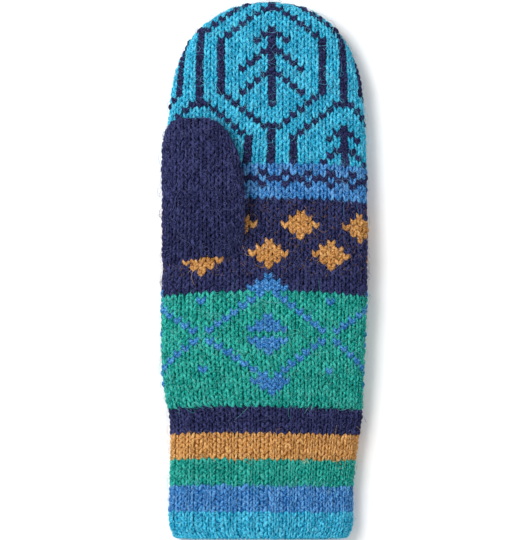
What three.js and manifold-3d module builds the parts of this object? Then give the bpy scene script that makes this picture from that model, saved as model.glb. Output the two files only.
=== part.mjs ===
// Knitted mitten for a child's left hand, lying palm up: a ribbed cuff of five stripes, a hand of four
// colour bands that is closed at the fingertips, and a thumb that lies over the palm.
// Millimetres. X runs across the hand, Y from the cuff to the fingertips, Z up from the surface below.
// The origin is at the middle of the hand, on that surface.

import * as THREE from "three";
import { mergeVertices } from "three/addons/utils/BufferGeometryUtils.js";
import Module from "manifold-3d";

const wasm = await Module();
wasm.setup();

// Heights of the knitted bands, from the cuff's edge to the fingertips
const stripeHeight = 10.5;
const greenBandHeight = 46.2;
const navyBandHeight = 37;
const blueBandHeight = 13.9;
const tipHeight = 65;

// The hand lying flat
const handWidth = 82.4;
const handThickness = 19;
const wall = 3;
const domeHeight = 84; // stretch over which the outline rounds in to the fingertips
const tipRounding = 17; // stretch over which the thickness runs out there

// The knit
const frontStitches = 30; // stitches across one layer
const stitchesPerRib = 3; // two knit stitches that stand up and one purl stitch between them
const ribDepth = 1.1;
const seamGap = 0.3; // clearance between neighbouring pieces

// The thumb, knitted on from a slit across the palm
const slitHeight = 111.8; // from the cuff's edge to the slit
const thumbLength = 56.2;
const thumbWidth = 33;
const thumbThickness = 13;
const thumbWall = 2.8;
const thumbInset = 0.2; // from the hand's edge to the thumb's
const thumbDome = 26; // stretch over which the thumb's outline rounds in
const thumbRounding = 9; // stretch over which its thickness runs out
const thumbStitches = 12; // stitches across one layer of the thumb

// Yarn colours
const yarnColours = {
  turquoise: 0x3aa6c4,
  blue: 0x4077ad,
  green: 0x278b82,
  mustard: 0xb6824e,
  navy: 0x2d3050,
};
const yarnRoughness = 0.95;

// Shape of the layers in section: 2 is an ellipse, and higher powers are fuller
const palmFullness = 2.6;
const backFullness = 3.6;
const backShare = 0.45; // share of the thickness that lies below the widest level
const backSettling = 1.07; // how far the back is pressed flat by the surface below
const thumbFullness = { above: 2.3, below: 2.8 };

// How an outline rounds in: along its length, then across its width
const domePowers = { along: 4.4, across: 2 };
const edgePowers = { along: 2.2, across: 2 };
const thumbPowers = { along: 1.6, across: 4 };

// The flat outline: at, a share of the height of the cuff, the hand's bands or the tip; left and right,
// shares of half the hand's width before it rounds in; thick, a share of the hand's thickness
const cuffRows = [
  { at: 0, left: 0.87, right: 0.8, thick: 0.73 },
  { at: 0.09, left: 0.925, right: 0.855, thick: 0.78 },
  { at: 0.42, left: 0.922, right: 0.866, thick: 0.8 },
  { at: 0.72, left: 0.915, right: 0.91, thick: 0.81 },
  { at: 0.92, left: 0.925, right: 0.948, thick: 0.83 },
];
const handRows = [
  { at: 0.04, left: 0.965, right: 0.955, thick: 0.87 },
  { at: 0.14, left: 0.995, right: 0.965, thick: 0.94 },
  { at: 0.45, left: 1, right: 0.995, thick: 1 },
  { at: 0.7, left: 0.975, right: 1, thick: 1 },
  { at: 1, left: 0.95, right: 0.99, thick: 0.95 },
];
const tipRows = [
  { at: 0.4, left: 0.945, right: 0.985, thick: 0.94 },
  { at: 0.9, left: 0.945, right: 1.01, thick: 0.93 },
];

// The thumb: at, a share of its length from the slit; floor and roof, heights above the palm as shares
// of its thickness; lean, its shift towards the hand's edge as a share of its width; roll, its slope
// down to that edge
const thumbRows = [
  { at: -0.1, floor: -0.66, roof: -0.36, lean: 0, roll: 0.08 },
  { at: 0, floor: -0.66, roof: 0.03, lean: 0, roll: 0.08 },
  { at: 0.14, floor: -0.62, roof: 0.5, lean: 0, roll: 0.11 },
  { at: 0.28, floor: -0.14, roof: 0.84, lean: 0, roll: 0.16 },
  { at: 0.5, floor: -0.14, roof: 0.98, lean: 0, roll: 0.19 },
  { at: 0.75, floor: -0.14, roof: 0.94, lean: 0.04, roll: 0.19 },
  { at: 1, floor: -0.12, roof: 0.82, lean: 0.115, roll: 0.19 },
];

// Where the cross sections lie, as shares of the height of their own piece
const evenSteps = (count) => Array.from({ length: count + 1 }, (_, step) => step / count);
const stripeSteps = evenSteps(1);
const edgeStripeSteps = [0, 0.2, 0.5, 1];
const bandSteps = evenSteps(3);
const borderSteps = evenSteps(2);
const tipSteps = [0, 0.25, 0.45, 0.62, 0.75, 0.85, 0.92, 0.965, 0.99];
const thumbSteps = [-0.1, -0.03, 0.03, 0.09, 0.16, 0.22, 0.28, 0.5, 0.7, 0.82, 0.9, 0.95, 0.985];

// Heights worked out from the sizes above
const stripeColours = ["turquoise", "blue", "green", "mustard", "navy"];
const cuffHeight = stripeHeight * stripeColours.length;
const handHeight = greenBandHeight + navyBandHeight + blueBandHeight;
const mittenLength = cuffHeight + handHeight + tipHeight;
const halfWidth = handWidth / 2;

const placeRows = (rows, start, height) => rows.map((row) => ({ ...row, height: start + row.at * height }));
const outlineRows = [
  ...placeRows(cuffRows, 0, cuffHeight),
  ...placeRows(handRows, cuffHeight, handHeight),
  ...placeRows(tipRows, cuffHeight + handHeight, tipHeight),
];
const thumbOutlineRows = placeRows(thumbRows, 0, thumbLength);

// A column of a table at any height, on a smooth curve through its rows
function readTable(rows, column, height) {
  const last = rows.length - 1;
  if (height <= rows[0].height) return rows[0][column];
  if (height >= rows[last].height) return rows[last][column];
  const index = rows.findIndex((row) => row.height > height) - 1;
  const slopeAt = (place) => {
    const before = rows[Math.max(place - 1, 0)];
    const after = rows[Math.min(place + 1, last)];
    return (after[column] - before[column]) / (after.height - before.height);
  };
  const from = rows[index];
  const to = rows[index + 1];
  const span = to.height - from.height;
  const share = (height - from.height) / span;
  const ease = share * share * (3 - 2 * share);
  const leave = share * (1 - share) * (1 - share) * span * slopeAt(index);
  const arrive = share * share * (1 - share) * span * slopeAt(index + 1);
  return from[column] + (to[column] - from[column]) * ease + leave - arrive;
}

// From 0 at the end of a form to 1 once the distance from the end is the reach of its rounding
function roundIn(distance, reach, powers) {
  const left = 1 - THREE.MathUtils.clamp(distance / reach, 0, 1);
  return Math.pow(1 - Math.pow(left, powers.along), 1 / powers.across);
}

// The hand's cross section at a height, drawn in from its outer surface by the inset
function handSection(height, inset) {
  const left = readTable(outlineRows, "left", height);
  const right = readTable(outlineRows, "right", height);
  const thickness = readTable(outlineRows, "thick", height) * handThickness;
  const toTip = mittenLength - inset - height;
  const dome = roundIn(toTip, domeHeight - inset, domePowers);
  const edge = roundIn(toTip, tipRounding - inset, edgePowers);
  const middle = backShare * thickness;
  return {
    centre: ((right - left) / 2) * halfWidth,
    half: (((left + right) / 2) * halfWidth - inset) * dome,
    middle,
    above: (thickness - middle - inset) * edge,
    below: (middle * backSettling - inset) * edge,
    lowest: inset,
    roll: 0,
    fullness: { above: palmFullness, below: backFullness },
  };
}

// How high the palm is at a place across the hand
function palmLevel(height, across) {
  const section = handSection(height, 0);
  const share = Math.min(Math.abs(across - section.centre) / section.half, 1);
  const fullness = section.fullness.above;
  return section.middle + section.above * Math.pow(1 - Math.pow(share, fullness), 1 / fullness);
}

const thumbCentre = thumbInset + thumbWidth / 2 - halfWidth;

// The thumb's cross section at a height above the slit, drawn in from its outer surface by the inset
function thumbSection(height, inset) {
  const level = palmLevel(slitHeight + Math.max(height, 0), thumbCentre);
  const floor = level + readTable(thumbOutlineRows, "floor", height) * thumbThickness;
  const roof = level + readTable(thumbOutlineRows, "roof", height) * thumbThickness;
  const toTip = thumbLength - inset - height;
  const dome = roundIn(toTip, thumbDome - inset, thumbPowers);
  const edge = roundIn(toTip, thumbRounding - inset, edgePowers);
  const depth = ((roof - floor) / 2 - inset) * edge;
  return {
    centre: thumbCentre - readTable(thumbOutlineRows, "lean", height) * thumbWidth,
    half: (thumbWidth / 2 - inset) * dome,
    middle: (roof + floor) / 2,
    above: depth,
    below: depth,
    lowest: -Infinity,
    roll: readTable(thumbOutlineRows, "roll", height),
    fullness: thumbFullness,
  };
}

// One layer of a section as points at even distances, from the right edge to the left for the upper
// layer and back again for the lower one
function layerPoints(section, side, count) {
  const fineCount = count * 8;
  const power = 2 / section.fullness[side];
  const depth = side === "above" ? section.above : -section.below;
  const start = side === "above" ? 0 : Math.PI;
  const fine = evenSteps(fineCount).map((share) => {
    const angle = start + share * Math.PI;
    const along = Math.cos(angle);
    const up = Math.abs(Math.sin(angle));
    const across = Math.sign(along) * Math.pow(Math.abs(along), power) * section.half;
    const rise = Math.max(section.middle + depth * Math.pow(up, power), section.lowest);
    return new THREE.Vector2(section.centre + across, rise + across * section.roll);
  });
  const runs = fine.map(() => 0);
  for (let place = 1; place < fine.length; place += 1) {
    runs[place] = runs[place - 1] + fine[place].distanceTo(fine[place - 1]);
  }
  const whole = runs[runs.length - 1];
  return evenSteps(count).slice(0, count).map((share) => {
    const run = share * whole;
    const after = Math.max(runs.findIndex((value) => value >= run), 1);
    const mix = (run - runs[after - 1]) / (runs[after] - runs[after - 1]);
    return fine[after - 1].clone().lerp(fine[after], mix);
  });
}

// A closed ring of points at one height, with a point for each stitch
function sectionRing(section, height, count, relief) {
  const points = [...layerPoints(section, "above", count), ...layerPoints(section, "below", count)];
  return points.map((point, place) => {
    const before = points[(place + points.length - 1) % points.length];
    const after = points[(place + 1) % points.length];
    const outward = new THREE.Vector2(after.y - before.y, before.x - after.x).normalize();
    const raised = point.clone().addScaledVector(outward, -relief(place));
    return new THREE.Vector3(raised.x, height, Math.max(raised.y, section.lowest));
  });
}

// A closed skin over rings of points: round again to the first ring, or closed at both ends by a point
function skinRings(rings, wraps) {
  const count = rings[0].length;
  const positions = rings.flat().flatMap((point) => point.toArray());
  const triangles = [];
  const corner = (ring, place) => (ring % rings.length) * count + (place % count);
  const spans = wraps ? rings.length : rings.length - 1;
  for (let ring = 0; ring < spans; ring += 1) {
    for (let place = 0; place < count; place += 1) {
      const near = corner(ring, place);
      const nearNext = corner(ring, place + 1);
      const far = corner(ring + 1, place);
      const farNext = corner(ring + 1, place + 1);
      triangles.push(near, far, nearNext, nearNext, far, farNext);
    }
  }
  if (!wraps) {
    const last = rings.length - 1;
    const firstPole = rings.length * count;
    const lastPole = firstPole + 1;
    positions.push(...rings[0].pole.toArray(), ...rings[last].pole.toArray());
    for (let place = 0; place < count; place += 1) {
      triangles.push(firstPole, corner(0, place), corner(0, place + 1));
      triangles.push(lastPole, corner(last, place + 1), corner(last, place));
    }
  }
  const geometry = new THREE.BufferGeometry();
  geometry.setAttribute("position", new THREE.Float32BufferAttribute(positions, 3));
  geometry.setIndex(triangles);
  return mergeVertices(geometry);
}

const noRelief = () => 0;
const ribRelief = (place) => (place % stitchesPerRib === 1 ? ribDepth : 0);

// Rings of the hand between two heights; the share says where each lies
function handRings(from, to, steps, inset, relief) {
  return steps.map((share) => {
    const height = from + (to - from) * share;
    return sectionRing(handSection(height, inset), height, frontStitches, relief);
  });
}

// A band of the hand or cuff, open at both ends
function bandGeometry(from, to, steps, relief) {
  const outer = handRings(from, to, steps, 0, relief);
  const inner = handRings(from, to, steps, wall, noRelief);
  return skinRings([...outer, ...inner.reverse()], true);
}

// The point that closes a form at its end
function poleRing(ring, across, height, level) {
  ring.pole = new THREE.Vector3(across, height, level);
  return ring;
}

// The closed end of the hand
function tipGeometry(from) {
  const closeHand = (rings, inset) => {
    const section = handSection(mittenLength - inset, inset);
    poleRing(rings[rings.length - 1], section.centre, mittenLength - inset, section.middle);
    return rings;
  };
  const outer = closeHand(handRings(from, mittenLength, tipSteps, 0, noRelief), 0);
  const inner = closeHand(handRings(from, mittenLength - wall, tipSteps, wall, noRelief), wall);
  return skinRings([...inner.reverse(), ...outer], false);
}

// A solid form of the thumb, closed at the tip and at the root
function thumbForm(inset, steps) {
  const rings = steps.map((share) => {
    const height = share * (thumbLength - inset);
    return sectionRing(thumbSection(height, inset), slitHeight + height, thumbStitches, noRelief);
  });
  const tip = thumbSection(thumbLength - inset, inset);
  const root = thumbSection(steps[0] * thumbLength, inset);
  const rootHeight = slitHeight + steps[0] * (thumbLength - inset);
  poleRing(rings[0], root.centre, rootHeight, root.middle);
  poleRing(rings[rings.length - 1], tip.centre, slitHeight + thumbLength - inset, tip.middle);
  return skinRings(rings, false);
}

// A solid form of the whole hand, grown by the clearance that the thumb keeps to it
function handForm() {
  const steps = [...evenSteps(8).slice(0, 8), ...tipSteps.map((share) => 1 - (1 - share) * 0.4)];
  const rings = handRings(slitHeight - thumbLength, mittenLength, steps, -seamGap, noRelief);
  const root = handSection(slitHeight - thumbLength, -seamGap);
  const tip = handSection(mittenLength, -seamGap);
  poleRing(rings[0], root.centre, slitHeight - thumbLength, root.middle);
  poleRing(rings[rings.length - 1], tip.centre, mittenLength + seamGap, tip.middle);
  return skinRings(rings, false);
}

function toSolid(geometry) {
  const bare = geometry.clone();
  bare.deleteAttribute("normal");
  bare.deleteAttribute("uv");
  const merged = mergeVertices(bare);
  const vertProperties = new Float32Array(merged.getAttribute("position").array);
  const triVerts = new Uint32Array(merged.getIndex().array);
  return new wasm.Manifold(new wasm.Mesh({ numProp: 3, vertProperties, triVerts }));
}

function toGeometry(solid) {
  const mesh = solid.getMesh();
  const geometry = new THREE.BufferGeometry();
  geometry.setAttribute("position", new THREE.BufferAttribute(mesh.vertProperties, mesh.numProp));
  geometry.setIndex(new THREE.BufferAttribute(mesh.triVerts, 1));
  return geometry;
}

const mitten = new THREE.Group();
mitten.position.y = -mittenLength / 2;

function addPiece(name, geometry, colour) {
  geometry.computeVertexNormals();
  const yarn = new THREE.MeshStandardMaterial({
    color: yarnColours[colour],
    roughness: yarnRoughness,
    metalness: 0,
  });
  const piece = new THREE.Mesh(geometry, yarn);
  piece.name = name;
  mitten.add(piece);
}

// Cuff, a piece for each stripe
stripeColours.forEach((colour, stripe) => {
  const from = stripe === 0 ? 0 : stripe * stripeHeight + seamGap / 2;
  const to = (stripe + 1) * stripeHeight - seamGap / 2;
  const steps = stripe === 0 ? edgeStripeSteps : stripeSteps;
  addPiece(`cuff_${colour}`, bandGeometry(from, to, steps, ribRelief), colour);
});

// Hand, a piece for each colour band, the palm of the navy one open to the thumb
const thumbHollow = toSolid(thumbForm(thumbWall, thumbSteps));
const greenTop = cuffHeight + greenBandHeight;
const navyTop = greenTop + navyBandHeight;
const blueTop = navyTop + blueBandHeight;
const halfGap = seamGap / 2;
const greenBand = bandGeometry(cuffHeight + halfGap, greenTop - halfGap, bandSteps, noRelief);
const navyBand = bandGeometry(greenTop + halfGap, navyTop - halfGap, bandSteps, noRelief);
const blueBand = bandGeometry(navyTop + halfGap, blueTop - halfGap, borderSteps, noRelief);
addPiece("hand_green", greenBand, "green");
addPiece("hand_navy", toGeometry(toSolid(navyBand).subtract(thumbHollow)), "navy");
addPiece("hand_blue", blueBand, "blue");
addPiece("hand_tip", tipGeometry(blueTop + halfGap), "turquoise");

// Thumb, hollow, with its open root on the palm
const thumbShell = toSolid(thumbForm(0, thumbSteps)).subtract(thumbHollow);
addPiece("thumb", toGeometry(thumbShell.subtract(toSolid(handForm()))), "navy");

export default mitten;
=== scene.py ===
import bpy
import math
import numpy as np
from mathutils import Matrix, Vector


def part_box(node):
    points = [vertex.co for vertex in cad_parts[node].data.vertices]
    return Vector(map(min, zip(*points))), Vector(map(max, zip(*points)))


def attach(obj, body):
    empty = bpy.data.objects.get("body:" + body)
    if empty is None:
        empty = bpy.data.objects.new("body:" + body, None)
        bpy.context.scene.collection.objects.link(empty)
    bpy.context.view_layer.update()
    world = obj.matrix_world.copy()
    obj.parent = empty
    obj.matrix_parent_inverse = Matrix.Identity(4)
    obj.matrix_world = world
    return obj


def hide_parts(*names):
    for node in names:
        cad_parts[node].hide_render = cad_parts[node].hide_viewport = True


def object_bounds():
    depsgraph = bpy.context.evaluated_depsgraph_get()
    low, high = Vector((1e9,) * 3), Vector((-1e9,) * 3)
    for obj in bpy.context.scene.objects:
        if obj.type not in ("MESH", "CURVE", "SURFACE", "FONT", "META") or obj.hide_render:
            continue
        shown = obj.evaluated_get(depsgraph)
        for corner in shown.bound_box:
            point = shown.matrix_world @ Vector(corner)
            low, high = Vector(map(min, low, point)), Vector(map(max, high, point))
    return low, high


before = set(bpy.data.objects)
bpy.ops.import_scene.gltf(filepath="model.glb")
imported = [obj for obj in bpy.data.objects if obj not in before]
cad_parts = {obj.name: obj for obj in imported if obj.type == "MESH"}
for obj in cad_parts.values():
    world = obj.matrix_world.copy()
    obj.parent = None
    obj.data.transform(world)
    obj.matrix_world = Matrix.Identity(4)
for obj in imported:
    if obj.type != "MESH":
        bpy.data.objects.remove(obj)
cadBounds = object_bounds()
print("frame loaded:", len(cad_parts), "nodes")

mm = 0.001
randomDraws = np.random.default_rng(56)

# the mitten lies palm up, X across the hand, Y from cuff to fingertips, Z up
hand = {
    "width": 82.4 * mm,
    "thickness": 19 * mm,
    "domeHeight": 84 * mm,
    "tipRounding": 17 * mm,
    "palmFullness": 2.6,
    "backFullness": 3.6,
    "backShare": 0.45,
    "backSettling": 1.07,
    "sideStitches": 14,        # stitches from the middle one to each side seam
    "tipPitch": 2.9 * mm,      # stitch width towards the fingertips
    "tipEasing": 16 * mm,
}

thumb = {
    "slitHeight": 111.8 * mm,
    "length": 56.2 * mm,
    "width": 33 * mm,
    "thickness": 13 * mm,
    "inset": 0.2 * mm,
    "dome": 26 * mm,
    "rounding": 9 * mm,
    "fullnessAbove": 2.3,
    "fullnessBelow": 2.8,
    "pitch": 3.2 * mm,
    "rows": 24,
    "rootRows": 2,             # rows below the slit that the table goes down to
    "rootBelow": 0.08,         # and their share of the length
    "coverBelow": 0.2 * mm,    # palm stitches under the root are left out from here
    "coverShare": 0.15,        # up to this share of the length
    "coverMargin": 2.5 * mm,   # and this far inside its sides
    "hidden": 0.4 * mm,        # thumb stitches deeper than this under the palm are left out
    "hiddenMargin": 2 * mm,
    "groundRows": (-1.5, 0.75),   # where its ground starts, and how short of the last row it ends
    "groundLines": 28,
}

# how square the ends are, seen from above and from the side
domePowers = (4.4, 2)
edgePowers = (2.2, 2)
thumbPowers = (1.6, 4)

# at is a share of the height of the cuff, the hand's bands or the tip, the rest are shares of the
# hand's half width and thickness
cuffRows = [
    {"at": 0, "left": 0.87, "right": 0.8, "thick": 0.73},
    {"at": 0.09, "left": 0.925, "right": 0.855, "thick": 0.78},
    {"at": 0.42, "left": 0.922, "right": 0.866, "thick": 0.8},
    {"at": 0.72, "left": 0.915, "right": 0.91, "thick": 0.81},
    {"at": 0.92, "left": 0.925, "right": 0.948, "thick": 0.83},
]
handRows = [
    {"at": 0.04, "left": 0.965, "right": 0.955, "thick": 0.87},
    {"at": 0.14, "left": 0.995, "right": 0.965, "thick": 0.94},
    {"at": 0.45, "left": 1, "right": 0.995, "thick": 1},
    {"at": 0.7, "left": 0.975, "right": 1, "thick": 1},
    {"at": 1, "left": 0.95, "right": 0.99, "thick": 0.95},
]
tipRows = [
    {"at": 0.4, "left": 0.945, "right": 0.985, "thick": 0.94},
    {"at": 0.9, "left": 0.945, "right": 1.01, "thick": 0.93},
]
thumbRows = [
    {"at": -0.1, "floor": -0.66, "roof": -0.36, "lean": 0, "roll": 0.08},
    {"at": 0, "floor": -0.66, "roof": 0.03, "lean": 0, "roll": 0.08},
    {"at": 0.14, "floor": -0.62, "roof": 0.5, "lean": 0, "roll": 0.11},
    {"at": 0.28, "floor": -0.14, "roof": 0.84, "lean": 0, "roll": 0.16},
    {"at": 0.5, "floor": -0.14, "roof": 0.98, "lean": 0, "roll": 0.19},
    {"at": 0.75, "floor": -0.14, "roof": 0.94, "lean": 0.04, "roll": 0.19},
    {"at": 1, "floor": -0.12, "roof": 0.82, "lean": 0.115, "roll": 0.19},
]

# how far the rows sag towards both side seams, fall to the right and waver, in rows, by height
sagRows = [
    {"height": 0, "sag": 0, "fall": 0, "waver": 0},
    {"height": 12 * mm, "sag": 0.1, "fall": 0.15, "waver": 0.13},
    {"height": 30 * mm, "sag": 0.25, "fall": 0.3, "waver": 0.17},
    {"height": 52 * mm, "sag": 0.6, "fall": 0.2, "waver": 0.1},
    {"height": 98 * mm, "sag": 1.15, "fall": 0, "waver": 0.05},
    {"height": 150 * mm, "sag": 0.9, "fall": 0, "waver": 0.05},
    {"height": 190 * mm, "sag": 0.3, "fall": 0, "waver": 0.04},
    {"height": 215 * mm, "sag": 0, "fall": 0, "waver": 0},
]
sagPower = 2.4
seamPower = 4                  # falls and wavers end at the seams
waves = [(0.6, 31, 0.4), (0.4, 13.7, 2)]   # height, pace and start of each wave of the waver

# where the middle stitch of the charts lies, by height
middleRows = [
    {"height": 0, "x": 2.4 * mm},
    {"height": 60 * mm, "x": 3 * mm},
    {"height": 80 * mm, "x": 1.6 * mm},
    {"height": 120 * mm, "x": 1.9 * mm},
    {"height": 160 * mm, "x": 2.8 * mm},
    {"height": 215 * mm, "x": 3 * mm},
]
edgeRow = 2.1 * mm             # height of a row that hangs past the cuff's edge

ringSamples = 480              # points round one section
lineSamples = 600              # places that a layer is measured at
meridianSamples = 400          # the same over a rounded end
endGap = 0.05 * mm             # the last section stops this short of the end
rowSteps = 4                   # sections to a row


# the knitting charts, rows counted from a band's top and columns from its middle
def middleOf(column, period):
    # distance to the nearest middle of a motif
    return abs((column + period // 2) % period - period // 2)


# stitches from one diamond to the next
greenPeriod = 16
navyPeriod = 8


def greenChart(row, column):
    # a diamond in outline with a halved one inside, a point under it and dots between
    reach = greenPeriod // 2
    across = middleOf(column, greenPeriod)
    fromMiddle = abs(row - (reach - 1))
    outline = 0 < fromMiddle < reach and across == reach - fromMiddle
    inside = 0 < fromMiddle < 4 and across <= 3 - fromMiddle
    point = 15 <= row <= 17 and across <= 17 - row
    dot = across == reach and fromMiddle == 6
    return "blue" if outline or inside or point or dot else "green"


def navyChart(row, column):
    # two rows of diamonds, set half a period apart, and the tops of the green band's diamonds
    upperDiamond = abs(row - 4) + middleOf(column + navyPeriod // 2, navyPeriod) <= 2
    lowerMiddle = 10 if -12 < column < -4 else 9   # the thumb's slit takes up a row
    lowerDiamond = abs(row - lowerMiddle) + middleOf(column, navyPeriod) <= 2
    if upperDiamond or lowerDiamond:
        return "mustard"
    greenTop = row >= 13 and middleOf(column, greenPeriod) <= row - 13
    return "blue" if greenTop else "navy"


def borderChart(row, column):
    # single stitches in two rows, and pairs between them
    spaced = column % 3 == 2
    return "navy" if (row in (1, 3) and spaced) or (row == 2 and not spaced) else "blue"


# stitches that each level of the tree in a hexagon reaches out
treeBranches = {6: 4, 7: 3, 8: 2, 9: 1, 10: 4, 11: 3, 12: 2, 13: 1, 15: 2, 16: 1}
honeycomb = {"period": 34, "columns": 20, "firstFlat": 7, "bar": 7}


def honeycombCell(level, across):
    # the outline of a hexagon: level counts up from its flat foot, by its sides to its flat top
    # and the bar above
    if level in (0, 21):
        return across <= 1
    if level <= 5:
        return across == level + 1
    if level <= 15:
        return across == honeycomb["bar"]
    if level <= 20:
        return across == 22 - level
    return across == 0


def honeycombTree(level, across):
    return 4 <= level <= 17 and across in (0, treeBranches.get(level, 0))


def tipChart(row, column):
    up = tipRowCount - row
    for half in (0, 1):
        columnShift, rowShift = half * honeycomb["columns"] // 2, half * honeycomb["period"] // 2
        across = middleOf(column + columnShift, honeycomb["columns"])
        level = (up - honeycomb["firstFlat"] + rowShift) % honeycomb["period"]
        if honeycombCell(level, across) or honeycombTree(level, across):
            return "navy"
    return "turquoise"


tipRowCount = 30
cuffYarns = ("turquoise", "blue", "green", "mustard", "navy")
bands = [{"node": "cuff_" + yarn, "yarn": yarn, "rows": 5, "chart": None} for yarn in cuffYarns] + [
    {"node": "hand_green", "yarn": "green", "rows": 20, "chart": greenChart},
    {"node": "hand_navy", "yarn": "navy", "rows": 16, "chart": navyChart},
    {"node": "hand_blue", "yarn": "blue", "rows": 6, "chart": borderChart},
    {"node": "hand_tip", "yarn": "turquoise", "rows": tipRowCount, "chart": tipChart},
]
cuffBands = len(cuffYarns)

# heights above the cuff's edge, from the frame
low, high = cadBounds
originY = low[1]
mittenLength = high[1] - originY


def bandEdges():
    tops = [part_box(band["node"])[1][1] - originY for band in bands]
    bottoms = [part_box(band["node"])[0][1] - originY for band in bands]
    joins = [(top + bottom) / 2 for top, bottom in zip(tops[:-1], bottoms[1:])]
    return [0] + joins + [mittenLength]


edges = bandEdges()
cuffHeight = edges[cuffBands]
handTop = edges[-2]


def placeRows(rows, start, height):
    return [dict(row, height=start + row["at"] * height) for row in rows]


outlineRows = (placeRows(cuffRows, 0, cuffHeight)
               + placeRows(handRows, cuffHeight, handTop - cuffHeight)
               + placeRows(tipRows, handTop, mittenLength - handTop))
thumbOutlineRows = placeRows(thumbRows, 0, thumb["length"])


def readTable(rows, column, heights):
    at = np.array([row["height"] for row in rows])
    value = np.array([row[column] for row in rows], float)
    slope = np.gradient(value, at)
    slope[1:-1] = (value[2:] - value[:-2]) / (at[2:] - at[:-2])
    heights = np.clip(heights, at[0], at[-1])
    index = np.clip(np.searchsorted(at, heights, side="right") - 1, 0, len(at) - 2)
    span = at[index + 1] - at[index]
    share = (heights - at[index]) / span
    ease = share * share * (3 - 2 * share)
    leave = share * (1 - share) ** 2 * span * slope[index]
    arrive = share ** 2 * (1 - share) * span * slope[index + 1]
    return value[index] + (value[index + 1] - value[index]) * ease + leave - arrive


def roundIn(distance, reach, powers):
    left = 1 - np.clip(distance / reach, 0, 1)
    return (1 - left ** powers[0]) ** (1 / powers[1])


def handSection(height):
    left = readTable(outlineRows, "left", height)
    right = readTable(outlineRows, "right", height)
    thickness = readTable(outlineRows, "thick", height) * hand["thickness"]
    toTip = mittenLength - height
    dome = roundIn(toTip, hand["domeHeight"], domePowers)
    edge = roundIn(toTip, hand["tipRounding"], edgePowers)
    halfWidth = hand["width"] / 2
    middle = hand["backShare"] * thickness
    return {
        "centre": (right - left) / 2 * halfWidth,
        "half": (left + right) / 2 * halfWidth * dome,
        "middle": middle,
        "above": (thickness - middle) * edge,
        "below": middle * hand["backSettling"] * edge,
        "lowest": 0,
        "roll": 0,
        "fullness": (hand["palmFullness"], hand["backFullness"]),
    }


def palmLevel(height, across):
    section = handSection(height)
    share = np.clip(np.abs(across - section["centre"]) / section["half"], 0, 1)
    power = hand["palmFullness"]
    return section["middle"] + section["above"] * (1 - share ** power) ** (1 / power)


thumbCentre = thumb["inset"] + thumb["width"] / 2 - hand["width"] / 2


def thumbSection(height):
    level = palmLevel(thumb["slitHeight"] + max(height, 0), thumbCentre)
    floor = level + readTable(thumbOutlineRows, "floor", height) * thumb["thickness"]
    roof = level + readTable(thumbOutlineRows, "roof", height) * thumb["thickness"]
    toTip = thumb["length"] - height
    dome = roundIn(toTip, thumb["dome"], thumbPowers)
    edge = roundIn(toTip, thumb["rounding"], edgePowers)
    depth = (roof - floor) / 2 * edge
    return {
        "centre": thumbCentre - readTable(thumbOutlineRows, "lean", height) * thumb["width"],
        "half": thumb["width"] / 2 * dome,
        "middle": (roof + floor) / 2,
        "above": depth,
        "below": depth,
        "lowest": -1,
        "roll": readTable(thumbOutlineRows, "roll", height),
        "fullness": (thumb["fullnessAbove"], thumb["fullnessBelow"]),
    }


def layerLine(section, layer, count):
    # one layer of a section from left to right, at even distances
    angle = np.linspace(math.pi, 0, lineSamples)
    upper = layer == "palm"
    power = 2 / section["fullness"][0 if upper else 1]
    depth = section["above"] if upper else -section["below"]
    along = np.cos(angle)
    across = np.sign(along) * np.abs(along) ** power * section["half"]
    rise = section["middle"] + depth * np.abs(np.sin(angle)) ** power
    rise = np.maximum(rise, section["lowest"]) + across * section["roll"]
    line = np.stack([section["centre"] + across, rise], 1)
    runs = np.concatenate([[0], np.cumsum(np.linalg.norm(np.diff(line, axis=0), axis=1))])
    even = np.linspace(0, runs[-1], count)
    places = [np.interp(even, runs, line[:, 0]), np.interp(even, runs, line[:, 1])]
    return np.stack(places, 1), runs[-1]


def buildFabric(sectionOf, heights, start, middleXs, rowShift):
    # a table of points and normals, a line for each section, that stitches are laid on
    half = ringSamples // 2
    points = np.zeros((len(heights), ringSamples, 3))
    arcs = {"palm": [], "back": []}
    middles = {"palm": [], "back": []}
    for number, height in enumerate(heights):
        section = sectionOf(height)
        palmLine, palmArc = layerLine(section, "palm", half + 1)
        backLine, backArc = layerLine(section, "back", half + 1)
        points[number, :half, 0::2] = palmLine[:-1]
        points[number, half:, 0::2] = backLine[::-1][:-1]
        points[number, :, 1] = originY + start + height
        for layer, line, arc in (("palm", palmLine, palmArc), ("back", backLine, backArc)):
            arcs[layer].append(arc)
            evenAlong = np.linspace(0, arc, half + 1)
            middles[layer].append(np.interp(middleXs[number], line[:, 0], evenAlong))
    return {"points": points, "normals": surfaceNormals(points),
            "arcs": {layer: np.array(arc) for layer, arc in arcs.items()},
            "middles": {layer: np.array(middle) for layer, middle in middles.items()},
            "heights": np.array(heights), "rowShift": rowShift}


def surfaceNormals(points):
    around = np.roll(points, -1, axis=1) - np.roll(points, 1, axis=1)
    normals = np.cross(around, np.gradient(points, axis=0))
    lengths = np.linalg.norm(normals, axis=2, keepdims=True)
    return normals / np.maximum(lengths, 1e-12)


def meridianRows(sectionOf, start, end, count):
    # heights of evenly spaced rows, measured over the rounded end
    fine = np.linspace(start, end, meridianSamples)
    level = np.array([sectionOf(height)["above"] for height in fine])
    runs = np.concatenate([[0], np.cumsum(np.hypot(np.diff(fine), np.diff(level)))])
    return np.interp(np.linspace(0, runs[-1], count), runs, fine)


def handHeights():
    heights = []
    for band, bottom, top in zip(bands[:-1], edges[:-2], edges[1:-1]):
        heights.extend(np.linspace(bottom, top, band["rows"] * rowSteps, endpoint=False))
    tipEnd = mittenLength - endGap
    heights.extend(meridianRows(handSection, handTop, tipEnd, tipRowCount * rowSteps + 1))
    return heights


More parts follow.
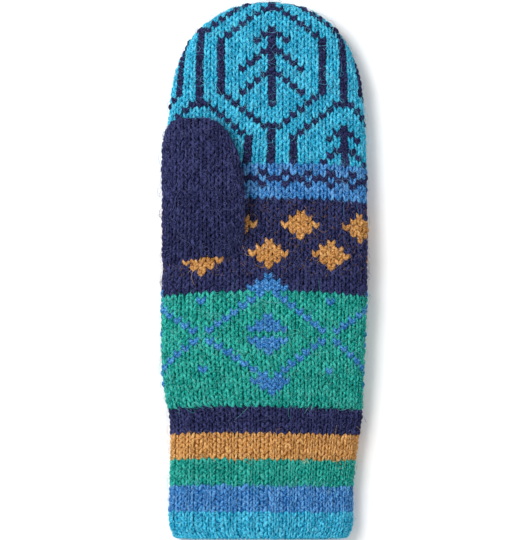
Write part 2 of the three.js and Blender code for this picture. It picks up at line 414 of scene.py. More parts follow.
handLines = handHeights()
handFabric = buildFabric(handSection, handLines, 0, readTable(middleRows, "x", handLines), 0)
thumbEnd = thumb["length"] - endGap
thumbHeights = meridianRows(thumbSection, 0.0, thumbEnd, thumb["rows"] * rowSteps + 1)
rootHeights = np.linspace(-thumb["rootBelow"] * thumb["length"], 0, thumb["rootRows"] * rowSteps,
                          endpoint=False)
thumbLines = list(rootHeights) + list(thumbHeights)
thumbFabric = buildFabric(thumbSection, thumbLines, thumb["slitHeight"],
                          [thumbCentre] * len(thumbLines), thumb["rootRows"])
print("fabric tables built")


def tableLookup(table, rowPlace, ringPlace):
    # between the four nearest entries
    rowPlace = np.clip(rowPlace, 0, table.shape[0] - 1.001)
    row = rowPlace.astype(int)
    ring = np.floor(ringPlace).astype(int)
    rowShare = (rowPlace - row)[:, None]
    ringShare = (ringPlace - ring)[:, None]
    ring0 = ring % ringSamples
    ring1 = (ring + 1) % ringSamples
    lower = table[row, ring0] * (1 - ringShare) + table[row, ring1] * ringShare
    upper = table[row + 1, ring0] * (1 - ringShare) + table[row + 1, ring1] * ringShare
    return lower * (1 - rowShare) + upper * rowShare


# ribs of the cuff: which column of each rib is purl, and how far the knit ones spread over it
rib = {"stitches": 3, "purl": 2, "spread": 0.13}


def ribWarp(columns):
    return columns + rib["spread"] * np.sin((columns - rib["purl"]) * 2 * math.pi / rib["stitches"])


def stitchAlong(fabric, rows, columns, layer):
    # distance from the left seam to a column, and the layer's and its neighbour's whole width
    place = np.clip((rows + fabric["rowShift"]) * rowSteps, 0, len(fabric["heights"]) - 1)
    lines = np.arange(len(fabric["heights"]))
    other = "back" if layer == "palm" else "palm"
    arc = np.interp(place, lines, fabric["arcs"][layer])
    otherArc = np.interp(place, lines, fabric["arcs"][other])
    middle = np.interp(place, lines, fabric["middles"][layer])
    if fabric is thumbFabric:
        return middle + columns * thumb["pitch"], arc, otherArc
    height = np.interp(place, lines, fabric["heights"])
    stitches = np.where(height < cuffHeight, hand["sideStitches"] + 1, hand["sideStitches"])
    columns = np.where(height < cuffHeight, ribWarp(columns), columns)
    side = np.where(columns < 0, middle, arc - middle)
    easing = np.clip((height - handTop) / hand["tipEasing"], 0, 1)
    pitch = side / stitches * (1 - easing) + hand["tipPitch"] * easing
    return middle + columns * pitch, arc, otherArc


def sagAt(rows, share):
    # rows as they lie, share running from -1 at the left seam to 1 at the right
    lines = np.arange(len(handFabric["heights"]))
    height = np.interp(rows * rowSteps, lines, handFabric["heights"])
    share = np.clip(share, -1, 1)
    waver = sum(size * np.sin(pace * share + start) for size, pace, start in waves)
    rows = rows - readTable(sagRows, "sag", height) * np.abs(share) ** sagPower
    rows = rows - readTable(sagRows, "fall", height) * share * (1 - share ** seamPower)
    return rows + readTable(sagRows, "waver", height) * waver * (1 - share ** seamPower)


def liftedPoints(fabric, rows, ringPlace, lift):
    # points on the fabric, lifted off it along its normal
    place = (rows + fabric["rowShift"]) * rowSteps
    points = tableLookup(fabric["points"], place, ringPlace)
    return points + tableLookup(fabric["normals"], place, ringPlace) * lift[:, None]


def layOn(fabric, rows, columns, layer, lift):
    # the same at rows and columns of stitches
    along, arc, otherArc = stitchAlong(fabric, rows, columns, layer)
    half = ringSamples / 2
    past = half + (along - arc) / otherArc * half
    ringPlace = np.where(along < 0, along / otherArc * half,
                         np.where(along > arc, past, along / arc * half))
    if layer == "back":
        ringPlace = -ringPlace
    if fabric is handFabric:
        rows = sagAt(rows, along / arc * 2 - 1)
    points = liftedPoints(fabric, rows, ringPlace, lift)
    if fabric is handFabric:
        points[:, 1] += np.minimum(rows, 0) * edgeRow
    return points


# yarn colours on screen: the deep colour is painted shade for the gaps between stitches and also
# darkens dull fibres, then the yarn and its light fibres
yarns = {
    "turquoise": {"deep": (0, 82, 120), "base": (12, 162, 202), "light": (112, 226, 250)},
    "blue": {"deep": (8, 56, 116), "base": (42, 118, 184), "light": (122, 186, 238)},
    "green": {"deep": (0, 74, 66), "base": (0, 142, 132), "light": (80, 204, 188)},
    "mustard": {"deep": (108, 62, 20), "base": (196, 136, 72), "light": (240, 194, 130)},
    "navy": {"deep": (11, 11, 34), "base": (35, 38, 73), "light": (74, 79, 128)},
}
fuzzTones = {
    "turquoise": {"deep": (14, 140, 184), "base": (56, 184, 220), "light": (146, 230, 248)},
    "blue": {"deep": (40, 106, 172), "base": (84, 152, 212), "light": (164, 208, 244)},
    "green": {"deep": (8, 134, 124), "base": (48, 174, 162), "light": (136, 222, 210)},
    "mustard": {"deep": (168, 114, 58), "base": (214, 162, 96), "light": (246, 214, 160)},
    "navy": {"deep": (26, 28, 60), "base": (52, 56, 100), "light": (112, 118, 168)},
}

# the mustard yarn runs on behind the navy between the diamonds, and its fibres come through dulled
floatTones = {"deep": (90, 62, 50), "base": (142, 104, 72), "light": (196, 150, 100)}


def fromScreen(colour):
    values = [channel / 255 for channel in colour]
    linear = [v / 12.92 if v <= 0.04045 else ((v + 0.055) / 1.055) ** 2.4 for v in values]
    return (*linear, 1)


def setInputs(node, values):
    for name, value in values.items():
        node.inputs[name].default_value = value


woolFinish = {
    "shader": {"Roughness": 0.95, "Sheen Weight": 0.06, "Sheen Roughness": 0.7,
               "Specular IOR Level": 0.05},
    "bump": {"Strength": 0.7, "Distance": 0.15 * mm},
    # fibres across and along a strand, and how they differ between strands
    "streaks": (0.9, 2.1, 23),
    "flecks": 900,             # the same by the metre, where a surface has no strands of its own
    "noise": {"Scale": 2, "Detail": 3, "Roughness": 0.6},
    # ranges read, and what they become
    # painted light level: low for painted shade in the gaps, high for the painted highlight on the
    # crests
    "lighting": (0.05, 0.7, 0, 1),
    "gloss": (0.49, 0.61, 0, 1),
    "shade": (0.25, 1, 0, 0.9),
    "dull": (0.38, 0.5, 0.65, 0),
    "dark": (0.02, 0.3, 0.28, 0),
}


def buildWoolGroup():
    # brushed wool: painted shade towards the deep colour where the painted light level is low, each
    # strand's own shade, and light and dark fibres along it, the light ones only where the painted
    # light level is high, as a painted highlight
    group = bpy.data.node_groups.new("woolColour", "ShaderNodeTree")
    nodes, links = group.nodes, group.links

    def addSocket(name, kind, direction, value=None):
        socket = group.interface.new_socket(name=name, in_out=direction, socket_type=kind)
        if value is not None:
            socket.default_value = value

    for name in ("Deep", "Base", "Light"):
        addSocket(name, "NodeSocketColor", "INPUT", (0.5, 0.5, 0.5, 1))
    addSocket("Strand", "NodeSocketVector", "INPUT")
    for name, value in (("Shade", 0.5), ("Lighting", 1), ("Sparkle", 0.6)):
        addSocket(name, "NodeSocketFloat", "INPUT", value)
    addSocket("Colour", "NodeSocketColor", "OUTPUT")
    addSocket("Height", "NodeSocketFloat", "OUTPUT")
    inputs = nodes.new("NodeGroupInput")
    outputs = nodes.new("NodeGroupOutput")

    def addMix(factor, first, second):
        mix = nodes.new("ShaderNodeMix")
        mix.data_type = "RGBA"
        links.new(factor, mix.inputs["Factor"])
        links.new(first, mix.inputs[6])
        links.new(second, mix.inputs[7])
        return mix.outputs[2]

    def addRange(value, key):
        span = nodes.new("ShaderNodeMapRange")
        names = ("From Min", "From Max", "To Min", "To Max")
        setInputs(span, dict(zip(names, woolFinish[key])))
        links.new(value, span.inputs["Value"])
        return span.outputs["Result"]

    def addStep(operation, first, second):
        step = nodes.new("ShaderNodeMath")
        step.operation = operation
        step.use_clamp = True
        links.new(first, step.inputs[0])
        links.new(second, step.inputs[1])
        return step.outputs[0]

    stretch = nodes.new("ShaderNodeVectorMath")
    stretch.operation = "MULTIPLY"
    stretch.inputs[1].default_value = woolFinish["streaks"]
    links.new(inputs.outputs["Strand"], stretch.inputs[0])
    streaks = nodes.new("ShaderNodeTexNoise")
    setInputs(streaks, woolFinish["noise"])
    links.new(stretch.outputs["Vector"], streaks.inputs["Vector"])
    fibres = streaks.outputs["Fac"]

    # painted shade: a low painted light level mixes the deep colour in
    lighting = addRange(inputs.outputs["Lighting"], "lighting")
    body = addMix(lighting, inputs.outputs["Deep"], inputs.outputs["Base"])
    gloss = addRange(fibres, "gloss")
    shade = addRange(inputs.outputs["Shade"], "shade")
    sparkle = addStep("MULTIPLY", addStep("ADD", gloss, shade), inputs.outputs["Sparkle"])
    # painted highlight: light fibres show only where the painted light level is high
    sparkle = addStep("MULTIPLY", sparkle, lighting)
    lit = addMix(sparkle, body, inputs.outputs["Light"])
    dull = addRange(fibres, "dull")
    dark = addRange(inputs.outputs["Shade"], "dark")
    colour = addMix(addStep("ADD", dull, dark), lit, inputs.outputs["Deep"])
    links.new(colour, outputs.inputs["Colour"])
    links.new(fibres, outputs.inputs["Height"])
    return group


woolGroup = buildWoolGroup()


# how many light fibres show, by the kind of piece
sparkles = {"Stitch": 0.75, "Ground": 0.15, "Fuzz": 0.8, "Float": 0.6}


def buildWoolMaterial(yarn, kind, tones):
    material = bpy.data.materials.new(yarn + kind)
    material.use_nodes = True
    nodes, links = material.node_tree.nodes, material.node_tree.links
    shader = nodes["Principled BSDF"]
    setInputs(shader, woolFinish["shader"])
    shader.inputs["Sheen Tint"].default_value = fromScreen(tones["light"])
    wool = nodes.new("ShaderNodeGroup")
    wool.node_tree = woolGroup
    setInputs(wool, {name.capitalize(): fromScreen(tone) for name, tone in tones.items()})
    wool.inputs["Sparkle"].default_value = sparkles[kind]
    for name, output in (("Strand", "Vector"), ("Shade", "Fac"), ("Lighting", "Fac")):
        attribute = nodes.new("ShaderNodeAttribute")
        attribute.attribute_name = name.lower()
        links.new(attribute.outputs[output], wool.inputs[name])
    bump = nodes.new("ShaderNodeBump")
    setInputs(bump, woolFinish["bump"])
    links.new(wool.outputs["Height"], bump.inputs["Height"])
    links.new(bump.outputs["Normal"], shader.inputs["Normal"])
    links.new(wool.outputs["Colour"], shader.inputs["Base Color"])
    return material


def buildMaterials(kind, tones):
    return {yarn: buildWoolMaterial(yarn, kind, tones[yarn]) for yarn in yarns}


stitchMaterials = buildMaterials("Stitch", yarns)
groundMaterials = buildMaterials("Ground", yarns)
fuzzMaterials = buildMaterials("Fuzz", fuzzTones)
floatMaterial = buildWoolMaterial("mustard", "Float", floatTones)
print("wool materials built")


def addPiece(name, points, faces, material, attributes):
    faces = np.asarray(faces, dtype=np.int32)
    mesh = bpy.data.meshes.new(name)
    mesh.vertices.add(len(points))
    mesh.vertices.foreach_set("co", np.asarray(points, np.float32).ravel())
    corners = faces.shape[1]
    mesh.loops.add(faces.size)
    mesh.loops.foreach_set("vertex_index", faces.ravel())
    mesh.polygons.add(len(faces))
    mesh.polygons.foreach_set("loop_start", np.arange(0, faces.size, corners, dtype=np.int32))
    mesh.update(calc_edges=True)
    mesh.polygons.foreach_set("use_smooth", np.ones(len(faces), bool))
    for attribute, values in attributes.items():
        kind, field = ("FLOAT_VECTOR", "vector") if attribute == "strand" else ("FLOAT", "value")
        layer = mesh.attributes.new(attribute, kind, "POINT")
        layer.data.foreach_set(field, np.asarray(values, np.float32).ravel())
    mesh.materials.append(material)
    piece = bpy.data.objects.new(name, mesh)
    bpy.context.scene.collection.objects.link(piece)
    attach(piece, "root")
    return piece


# one leg of a knit stitch: across in stitch widths from the middle, up in rows, lift and girth in
# shares of the strand's radius
stitchLeg = [
    {"across": 0.09, "up": -0.64, "lift": -0.85, "girth": 0.64},
    {"across": 0.135, "up": -0.34, "lift": -0.22, "girth": 0.96},
    {"across": 0.225, "up": 0.02, "lift": 0.06, "girth": 1.04},
    {"across": 0.31, "up": 0.42, "lift": -0.06, "girth": 1.0},
    {"across": 0.37, "up": 0.86, "lift": -0.75, "girth": 0.66},
]
strand = {
    "radius": 0.72 * mm,
    "halfWidth": 0.215,        # in stitch widths
    "sides": 5,
    "sinkPurl": 0.45 * mm,     # how deep the purl columns of the cuff lie
    "sinkSeam": 0.3 * mm,      # and the extra column on a side seam
    "capStep": 0.12,           # how far the ends of a leg point out, in rows
    # painted shade: corners of a leg get darker the further they lie under its crest
    "paintedShadeDepth": 2.1,         # the crest fades to 0 this far down, in radii
    "shadeSpread": (1.3, 2.2),
    "seamMargin": 0.35,        # how much of a seam column may lie past its layer
    "jitterAcross": 0.03,
    "jitterUp": 0.07,
    "jitterLift": 0.12 * mm,
    "jitterGirth": 0.11,
    # a second yarn's stitches stand a little prouder
    "motifGirth": {"navy": 1.38, "blue": 1.36, "mustard": 1.26},
}


def tubeFaces(rings, sides):
    faces = []
    for ring in range(rings - 1):
        for side in range(sides):
            after = (side + 1) % sides
            a, b = ring * sides + side, ring * sides + after
            c, d = a + sides, b + sides
            faces.extend([(a, b, c), (b, d, c)])
    first, last = rings * sides, rings * sides + 1
    for side in range(sides):
        after = (side + 1) % sides
        faces.append((first, after, side))
        faces.append((last, (rings - 1) * sides + side, (rings - 1) * sides + after))
    return np.array(faces, np.int32)


def legTemplate(mirror):
    # corners of one leg as across, up, lift, then its own side and length for the streaks
    sides = strand["sides"]
    corners = []
    for place in stitchLeg:
        for side in range(sides):
            angle = 2 * math.pi * side / sides + math.pi / 2
            girth = place["girth"]
            corners.append((
                place["across"] + math.cos(angle) * strand["halfWidth"] * girth,
                place["up"],
                place["lift"] + math.sin(angle) * girth - 1,
                math.cos(angle),
                place["up"],
            ))
    capStep = strand["capStep"]
    for place, step in ((stitchLeg[0], -capStep), (stitchLeg[-1], capStep)):
        corners.append((place["across"], place["up"] + step, place["lift"] - 1, 0, place["up"]))
    corners = np.array(corners)
    faces = tubeFaces(len(stitchLeg), sides)
    if mirror:
        corners[:, 0] *= -1
        faces = faces[:, ::-1]
    return corners, faces


legTemplates = [legTemplate(False), legTemplate(True)]


def layLegs(fabric, chosen, layer, corners):
    # chosen has a row, column, sink and girth for each stitch
    count, size = len(chosen), len(corners)
    jitter = randomDraws.normal(size=(count, 4))
    girth = (1 + strand["jitterGirth"] * jitter[:, 3:4]) * chosen[:, 3:4]
    rows = chosen[:, 0:1] + strand["jitterUp"] * jitter[:, 0:1] + corners[None, :, 1]
    middle = stitchLeg[2]["across"] * np.sign(corners[0, 0])
    spread = middle + (corners[None, :, 0] - middle) * girth
    columns = chosen[:, 1:2] + strand["jitterAcross"] * jitter[:, 1:2] + spread
    lift = (corners[None, :, 2] + 1) * strand["radius"] * girth - strand["radius"]
    lift = lift + strand["jitterLift"] * jitter[:, 2:3] - chosen[:, 2:3]
    points = layOn(fabric, rows.ravel(), columns.ravel(), layer, lift.ravel())
    points[:, 2] = np.maximum(points[:, 2], 0)
    shade = randomDraws.beta(*strand["shadeSpread"], size=count) / chosen[:, 3] ** 3
    shade = np.repeat(shade, size)
    # painted shade: corners deeper on the leg get a lower painted light level, darkening the gaps
    # between stitches
    depth = strand["paintedShadeDepth"]
    lighting = np.tile(np.clip((corners[:, 2] + depth) / depth, 0, 1), count)
    along = np.tile(corners[:, 3:5], (count, 1))
    streak = np.column_stack([along, np.repeat(randomDraws.random(count), size)])
    return points, {"shade": shade, "lighting": lighting, "strand": streak}


def joinParts(parts):
    # parts: points, faces and attributes of several meshes
    offset, points, faces = 0, [], []
    for part in parts:
        points.append(part[0])
        faces.append(part[1] + offset)
        offset += len(part[0])
    attributes = {name: np.concatenate([part[2][name] for part in parts]) for name in parts[0][2]}
    return np.concatenate(points), np.concatenate(faces), attributes


def repeatFaces(faces, corners, count):
    return (faces[None] + (np.arange(count) * corners)[:, None, None]).reshape(-1, faces.shape[1])


def layStitches(fabric, stitches):
    parts = []
    for layer in ("palm", "back"):
        chosen = np.array([stitch[:4] for stitch in stitches if stitch[4] == layer])
        if len(chosen) == 0:
            continue
        for corners, faces in legTemplates:
            points, attributes = layLegs(fabric, chosen, layer, corners)
            parts.append((points, repeatFaces(faces, len(corners), len(chosen)), attributes))
    return joinParts(parts)


def layerColumns(fabric, row, layer):
    # the columns that fit on a layer at one row; the seam columns belong to the palm
    reach = hand["sideStitches"] + 2
    columns = np.arange(-reach, reach + 1)
    rows = np.full(len(columns), float(row))
    along, arc, _ = stitchAlong(fabric, rows, columns.astype(float), layer)
    pitch = np.median(np.diff(along))
    margin = strand["seamMargin"] * (1 if layer == "palm" else -1)
    fits = (along > -margin * pitch) & (along < arc + margin * pitch)
    return columns[fits]


def seamColumns(fabric, row):
    # columns, not whole ones, that lie on the two side seams
    along, arc, _ = stitchAlong(fabric, np.full(2, float(row)), np.array([0.0, 1.0]), "palm")
    pitch = along[1] - along[0]
    return [-along[0] / pitch, (arc[0] - along[0]) / pitch]


def spotOf(fabric, row, column, layer):
    # the point of one stitch on the fabric
    rows, columns = np.array([float(row)]), np.array([float(column)])
    return layOn(fabric, rows, columns, layer, np.zeros(1))[0]


def insideThumb(fabric, row, column, layer):
    # whether a palm stitch lies under the thumb's root, where the two are one fabric
    if layer == "back":
        return False
    point = spotOf(fabric, row, column, layer)
    height = point[1] - originY - thumb["slitHeight"]
    if not -thumb["coverBelow"] < height < thumb["coverShare"] * thumb["length"]:
        return False
    return abs(point[0] - thumbCentre) < thumb["width"] / 2 - thumb["coverMargin"]


bandStarts = np.concatenate([[0], np.cumsum([band["rows"] for band in bands])])


def addStitches(node, fabric, stitches, yarn):
    points, faces, attributes = layStitches(fabric, stitches)
    name = "stitches_" + node + "_" + yarn
    addPiece(name, points, faces, stitchMaterials[yarn], attributes)
    print(name, len(stitches), "stitches,", len(faces), "triangles")


def buildBandStitches(number, band):
    # the stitches of a band, a joined mesh for each yarn in it
    byYarn = {}
    for step in range(band["rows"]):
        row = bandStarts[number] + step + 0.5
        fromTop = band["rows"] - 1 - step
        for layer in ("palm", "back"):
            for column in layerColumns(handFabric, row, layer):
                if insideThumb(handFabric, row, column, layer):
                    continue
                yarn = band["chart"](fromTop, int(column)) if band["chart"] else band["yarn"]
                isPurl = number < cuffBands and column % rib["stitches"] == rib["purl"]
                sink = strand["sinkPurl"] if isPurl else 0.0
                girth = strand["motifGirth"][yarn] if yarn != band["yarn"] else 1.0
                byYarn.setdefault(yarn, []).append((row, float(column), sink, girth, layer))
        if band["node"] == "hand_tip":
            for column in seamColumns(handFabric, row):
                yarn = band["chart"](fromTop, round(column))
                byYarn[yarn].append((row, column, strand["sinkSeam"], 1.0, "palm"))
    for yarn, stitches in byYarn.items():
        addStitches(band["node"], handFabric, stitches, yarn)


def buildThumbStitches():
    stitches = []
    for step in range(-1, thumb["rows"]):
        row = step + 0.5
        for layer in ("palm", "back"):
            for column in layerColumns(thumbFabric, row, layer):
                spot = spotOf(thumbFabric, row, column, layer)
                lowest = palmLevel(spot[1] - originY, spot[0]) - thumb["hidden"]
                widest = hand["width"] / 2 - thumb["hiddenMargin"]
                if spot[2] < lowest and abs(spot[0]) < widest:
                    continue
                stitches.append((row, float(column), 0.0, 1.0, layer))
        for column in seamColumns(thumbFabric, row) if step > 1 else []:
            stitches.append((row, column, strand["sinkSeam"], 1.0, "palm"))
    addStitches("thumb", thumbFabric, stitches, "navy")


# the knitted ground behind the stitches: closed walls that show inside and in the gaps; outside
# they are kept dark as painted shade between the stitches
ground = {
    "sink": 1.1 * mm,
    "innerSink": 2.9 * mm,
    "thumbSink": 1.65 * mm,    # how deep the thumb's wall lies in the palm at its root
    "samples": 120,
    "shade": 0.3,
    # painted shade and light: the outer ground is dark between the stitches, the inner one lighter
    # on its purl bumps and darker between them
    "outerLighting": 0.1,         # dark between the stitches
    "innerLighting": 0.6,         # and lighter on the purl bumps
    "tipShort": 0.75,          # rows that the tip's ground ends short of its last
    "reliefBands": 3,          # cuff stripes whose inside has real purl bumps
    "reliefSamples": 240,
    "reliefLines": 3,          # lines to a row
    "relief": 0.55 * mm,
    "reliefColumns": 60,
}


def gridFaces(lines, samples):
    line, place = np.meshgrid(np.arange(lines), np.arange(samples), indexing="ij")
    after, above = (place + 1) % samples, (line + 1) % lines
    corners = [line * samples + place, above * samples + place,
               above * samples + after, line * samples + after]
    return np.stack([corner.ravel() for corner in corners], 1)


def ringPoints(fabric, row, sink, samples):
    # a whole ring of the fabric at one row, palm from left to right and then back
    ring = np.arange(samples) * ringSamples / samples
    share = (ring % (ringSamples / 2)) / (ringSamples / 4) - 1
    rows = np.full(samples, float(row))
    if fabric is handFabric:
        rows = np.maximum(sagAt(rows, np.where(ring < ringSamples / 2, share, -share)), 0)
    return liftedPoints(fabric, rows, ring, -np.broadcast_to(sink, samples))


def purlRelief(row, samples):
    # rows of half round bumps, each set half a stitch from the one below
    column = np.arange(samples) / samples * ground["reliefColumns"]
    shift = 0.5 * (math.floor(row) % 2)
    return np.abs(np.sin(math.pi * (column + shift))) * math.sin(math.pi * (row % 1))


def keepOutOfHand(ring):
    # where the thumb's wall would reach into the hand's hollow it lies on the palm's ground instead
    for point in ring:
        section = handSection(point[1] - originY)
        if abs(point[0] - section["centre"]) < section["half"]:
            lowest = palmLevel(point[1] - originY, point[0]) - ground["thumbSink"]
            point[2] = max(point[2], lowest)
    return ring


def buildGround(name, fabric, rows, yarn, node, relief=False):
    samples = ground["reliefSamples"] if relief else ground["samples"]
    lines = [ringPoints(fabric, row, ground["sink"], samples) for row in rows]
    # painted shade: the outer wall takes a low painted light level, the inner wall more on its purl
    # bumps
    lightingLines = [np.full(samples, ground["outerLighting"]) for _ in rows]
    for row in rows[::-1]:
        bump = purlRelief(row, samples) if relief else np.full(samples, 0.5)
        sink = ground["innerSink"] - ground["relief"] * (1 - bump) * relief
        lines.append(ringPoints(fabric, row, sink, samples))
        lightingLines.append(ground["outerLighting"] + ground["innerLighting"] * bump)
    if fabric is thumbFabric:
        lines = [keepOutOfHand(ring) for ring in lines]
    points = np.concatenate(lines)
    attributes = {"shade": np.full(len(points), ground["shade"]), "lighting": np.concatenate(lightingLines),
                  "strand": points * woolFinish["flecks"]}
    faces = gridFaces(len(lines), samples)
    piece = addPiece(name, points, faces, groundMaterials[yarn], attributes)
    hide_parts(node)


for number, band in enumerate(bands):
    buildBandStitches(number, band)
    first, last = bandStarts[number], bandStarts[number + 1]
    if band["node"] == "hand_tip":
        last = last - ground["tipShort"]
    relief = number < ground["reliefBands"]
    lines = int(last - first) * (ground["reliefLines"] if relief else 1) + 1
    rows = np.linspace(first, last, lines)
    buildGround("ground_" + band["node"], handFabric, rows, band["yarn"], band["node"], relief)

buildThumbStitches()
first, short = thumb["groundRows"]
rows = np.linspace(first, thumb["rows"] - short, thumb["groundLines"])
buildGround("ground_thumb", thumbFabric, rows, "navy", "thumb")
print("stitches and grounds built")

# loops of the cast-on edge, from outside round the rim: across in stitches, up in rows, sunk in mm
castOn = {
    "path": [(-0.14, 0.55, 0.9), (-0.08, 0.14, 0.6), (0, 0.0, 1.15), (0.06, 0.02, 2.0),
             (0.12, 0.4, 2.65)],
    "girths": np.array([0.6, 1, 1.05, 1, 0.6]) * 0.66 * mm,
    "sides": 5,
    "shade": 0.7,
}
tubeLean = np.array([0.31, 0.17, 0.94])   # a direction that hardly any strand runs in
plainShades = (1.6, 2)         # spread of the shades of loops and fibres


def tubesAlong(paths, sides, girths):
    # closed tubes along many paths, with a girth for each point of a path
    count, steps, _ = paths.shape
    tangents = np.gradient(paths, axis=1)
    tangents /= np.maximum(np.linalg.norm(tangents, axis=2, keepdims=True), 1e-12)
    across = np.cross(tangents, tubeLean)
    across /= np.maximum(np.linalg.norm(across, axis=2, keepdims=True), 1e-12)
    upright = np.cross(tangents, across)
    angles = 2 * math.pi * np.arange(sides) / sides
    offsets = (across[:, :, None] * np.cos(angles)[None, None, :, None]
               + upright[:, :, None] * np.sin(angles)[None, None, :, None])
    corners = paths[:, :, None] + offsets * np.asarray(girths)[None, :, None, None]
    points = np.concatenate([corners.reshape(count, steps * sides, 3), paths[:, [0, -1]]], 1)
    faces = repeatFaces(tubeFaces(steps, sides), steps * sides + 2, count)
    return points.reshape(-1, 3), faces, steps * sides + 2


def plainAttributes(count, corners):
    own = randomDraws.random((count, 3))
    return {"shade": np.repeat(randomDraws.beta(*plainShades, count), corners),
            "lighting": np.ones(count * corners),
            "strand": np.repeat(own, corners, axis=0)}


def buildCastOn():
    parts = []
    for layer in ("palm", "back"):
        columns = layerColumns(handFabric, 0, layer).astype(float)
        columns = np.concatenate([columns, columns[:-1] + 0.5])
        steps = [layOn(handFabric, np.full(len(columns), up), columns + across, layer,
                       np.full(len(columns), -sunk * mm)) for across, up, sunk in castOn["path"]]
        points, faces, corners = tubesAlong(np.stack(steps, 1), castOn["sides"], castOn["girths"])
        attributes = plainAttributes(len(columns), corners)
        attributes["shade"] *= castOn["shade"]
        attributes["strand"][:, :2] = points[:, :2] * woolFinish["flecks"]
        parts.append((points, faces, attributes))
    points, faces, attributes = joinParts(parts)
    addPiece("cast_on_edge", points, faces, stitchMaterials["turquoise"], attributes)
    print("cast-on edge,", len(faces), "triangles")


buildCastOn()

# fine fibres that stand off the brushed wool: a short nap all over, longer curling strays, and the
# mustard ones between the diamonds; lengths, rises and curls are in millimetres and radians
nap = {
    "fibres": {"turquoise": 3100, "blue": 1400, "green": 2400, "mustard": 700, "navy": 3100},
    "length": (1.2, 3),
    "rise": 0.3,
    "curl": 0.8,
    "girths": np.array([0.05, 0.06, 0.02]) * mm,
}
strays = {
    "fibres": {"turquoise": 620, "blue": 260, "green": 420, "mustard": 150, "navy": 900},
    "length": (3.5, 9),
    "rise": 0.65,
    "curl": 3.2,
    "girths": np.array([0.03, 0.045, 0.045, 0.045, 0.035, 0.015]) * mm,
}
floats = {
    "fibres": {"mustard": 900},
    "length": (0.7, 1.8),
    "rise": 0.2,
    "curl": 0.8,
    "girths": np.array([0.045, 0.055, 0.02]) * mm,
}

# how a fibre rises out of the stitches and comes down, and millimetres to a stitch and a row
fibre = {
    "sides": 3,
    "riseSpread": 0.7,
    "arch": (0.08, 0.72),      # start and length of its arch, in half turns
    "archHeight": 1.3,
    "startDepth": 0.3,
    "stitch": 3.0,
    "row": 2.3,
}


def fibrePaths(kind, fabric, rows, columns, layer):
    # curling paths that start low in the stitches
    count, steps = len(rows), len(kind["girths"])
    length = randomDraws.uniform(*kind["length"], count)
    heading = randomDraws.uniform(0, 2 * math.pi, count)
    curl = randomDraws.normal(0, kind["curl"], count)
    rise = np.abs(randomDraws.normal(kind["rise"], kind["rise"] * fibre["riseSpread"], count))
    archStart, archLength = fibre["arch"]
    across, up = np.zeros(count), np.zeros(count)
    paths = []
    for step in range(steps):
        share = step / (steps - 1)
        arch = math.sin(math.pi * (archStart + archLength * share)) * fibre["archHeight"]
        lift = (rise * arch - fibre["startDepth"]) * mm
        point = layOn(fabric, rows + up, columns + across, layer, lift)
        point[:, 2] = np.maximum(point[:, 2], kind["girths"].max())
        paths.append(point)
        heading = heading + curl / (steps - 1)
        across = across + np.cos(heading) * length / (steps - 1) / fibre["stitch"]
        up = up + np.sin(heading) * length / (steps - 1) / fibre["row"]
    return np.stack(paths, 1)


def buildFuzz(name, kinds, yarn, material, spots):
    # spots: fabric, row, column and layer of places on one yarn's stitches
    parts, first = [], 0
    for kind in kinds:
        chosen = spots[first:first + kind["fibres"][yarn]]
        first += len(chosen)
        for fabric in (handFabric, thumbFabric):
            for layer in ("palm", "back"):
                places = [spot[1:3] for spot in chosen if spot[0] is fabric and spot[3] == layer]
                if not places:
                    continue
                rows, columns = np.array(places).T
                paths = fibrePaths(kind, fabric, rows, columns, layer)
                points, faces, corners = tubesAlong(paths, fibre["sides"], kind["girths"])
                parts.append((points, faces, plainAttributes(len(rows), corners)))
    points, faces, attributes = joinParts(parts)
    addPiece(name, points, faces, material, attributes)
    print(name, len(faces), "triangles")


# how many places are tried on the hand and the thumb, how many of them on the palm's side, and
# how far out in rows and columns
scatter = {
    "hand": {"tries": 60000, "palmShare": 0.62, "rows": (0.2, 0.5), "columns": 14.5},
    "thumb": {"tries": 9000, "palmShare": 0.75, "rows": (0.5, 0.5), "columns": 6},
    "floatRows": 13,           # rows from the navy band's top that mustard runs behind
}


def randomSpot(place, fabric, rowCount):
    # a random place as row, column and layer, or nothing where it falls off the layer
    below, above = place["rows"]
    row = randomDraws.uniform(below, rowCount - above)
    layer = "palm" if randomDraws.random() < place["palmShare"] else "back"
    column = randomDraws.uniform(-place["columns"], place["columns"])
    along, arc, _ = stitchAlong(fabric, np.array([row]), np.array([column]), layer)
    return (row, column, layer) if 0 <= along[0] <= arc[0] else None


def fuzzSpots():
    # random places, sorted by the yarn that is knitted there
    spots = {yarn: [] for yarn in [*yarns, "floats"]}
    for _ in range(scatter["hand"]["tries"]):
        spot = randomSpot(scatter["hand"], handFabric, bandStarts[-1])
        if spot is None:
            continue
        row, column, layer = spot
        number = int(np.searchsorted(bandStarts, row, side="right") - 1)
        band = bands[number]
        fromTop = band["rows"] - 1 - int(row - bandStarts[number])
        yarn = band["chart"](fromTop, int(round(column))) if band["chart"] else band["yarn"]
        spots[yarn].append((handFabric, row, column, layer))
        if band["node"] == "hand_navy" and yarn == "navy" and fromTop < scatter["floatRows"]:
            spots["floats"].append((handFabric, row, column, layer))
    for _ in range(scatter["thumb"]["tries"]):
        spot = randomSpot(scatter["thumb"], thumbFabric, thumb["rows"])
        if spot is not None:
            spots["navy"].append((thumbFabric, *spot))
    for places in spots.values():
        randomDraws.shuffle(places)
    return spots


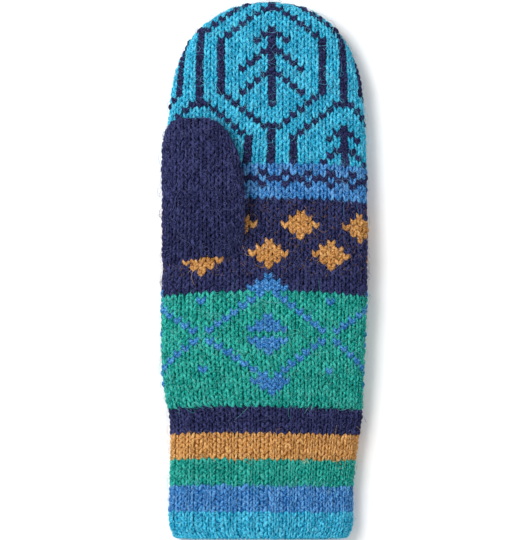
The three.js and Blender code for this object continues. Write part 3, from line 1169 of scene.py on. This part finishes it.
fuzzPlaces = fuzzSpots()
for yarn in yarns:
    buildFuzz("fuzz_" + yarn, (nap, strays), yarn, fuzzMaterials[yarn], fuzzPlaces[yarn])
buildFuzz("fuzz_floats", (floats,), "mustard", floatMaterial, fuzzPlaces["floats"][::-1])

# floor, light and camera
studio = {
    "paper": {"Base Color": (0.98, 0.98, 0.98, 1), "Roughness": 0.8},
    "floorSize": 6,
    "floorDrop": 0.1 * mm,     # clear of the wool
    "world": {"Color": (1, 1, 1, 1), "Strength": 0.68},
    "keyPlace": (-0.62, 0.42, 1.15),
    "keySize": 0.6,
    "keyPower": 14,
    "cameraHeight": 2.4,
    "frameHeight": 0.216,
    "sensor": 24,              # millimetres high
    "clipEnd": 20,
}


def buildFloor():
    place = (0, 0, -studio["floorDrop"])
    bpy.ops.mesh.primitive_plane_add(size=studio["floorSize"], location=place)
    floor = bpy.context.object
    floor.name = "floor"
    material = bpy.data.materials.new("floorPaper")
    material.use_nodes = True
    setInputs(material.node_tree.nodes["Principled BSDF"], studio["paper"])
    floor.data.materials.append(material)


def buildLights():
    world = bpy.data.worlds.new("studioWorld")
    world.use_nodes = True
    setInputs(world.node_tree.nodes["Background"], studio["world"])
    bpy.context.scene.world = world
    key = bpy.data.lights.new("keyLight", "AREA")
    key.size = studio["keySize"]
    key.energy = studio["keyPower"]
    lamp = bpy.data.objects.new("keyLight", key)
    lamp.location = studio["keyPlace"]
    lamp.rotation_euler = (-Vector(studio["keyPlace"])).to_track_quat("-Z", "Y").to_euler()
    bpy.context.scene.collection.objects.link(lamp)


def buildCamera():
    camera = bpy.data.cameras.new("camera")
    eye = bpy.data.objects.new("camera", camera)
    bpy.context.scene.collection.objects.link(eye)
    eye.location = (0, 0, studio["cameraHeight"])
    camera.sensor_fit = "VERTICAL"
    camera.sensor_height = studio["sensor"]
    distance = studio["cameraHeight"] - hand["thickness"] / 2
    camera.lens = camera.sensor_height * distance / studio["frameHeight"]
    camera.clip_end = studio["clipEnd"]
    bpy.context.scene.camera = eye


buildFloor()
buildLights()
buildCamera()
bpy.context.scene.view_settings.view_transform = "Standard"
print("floor, lights and camera set")
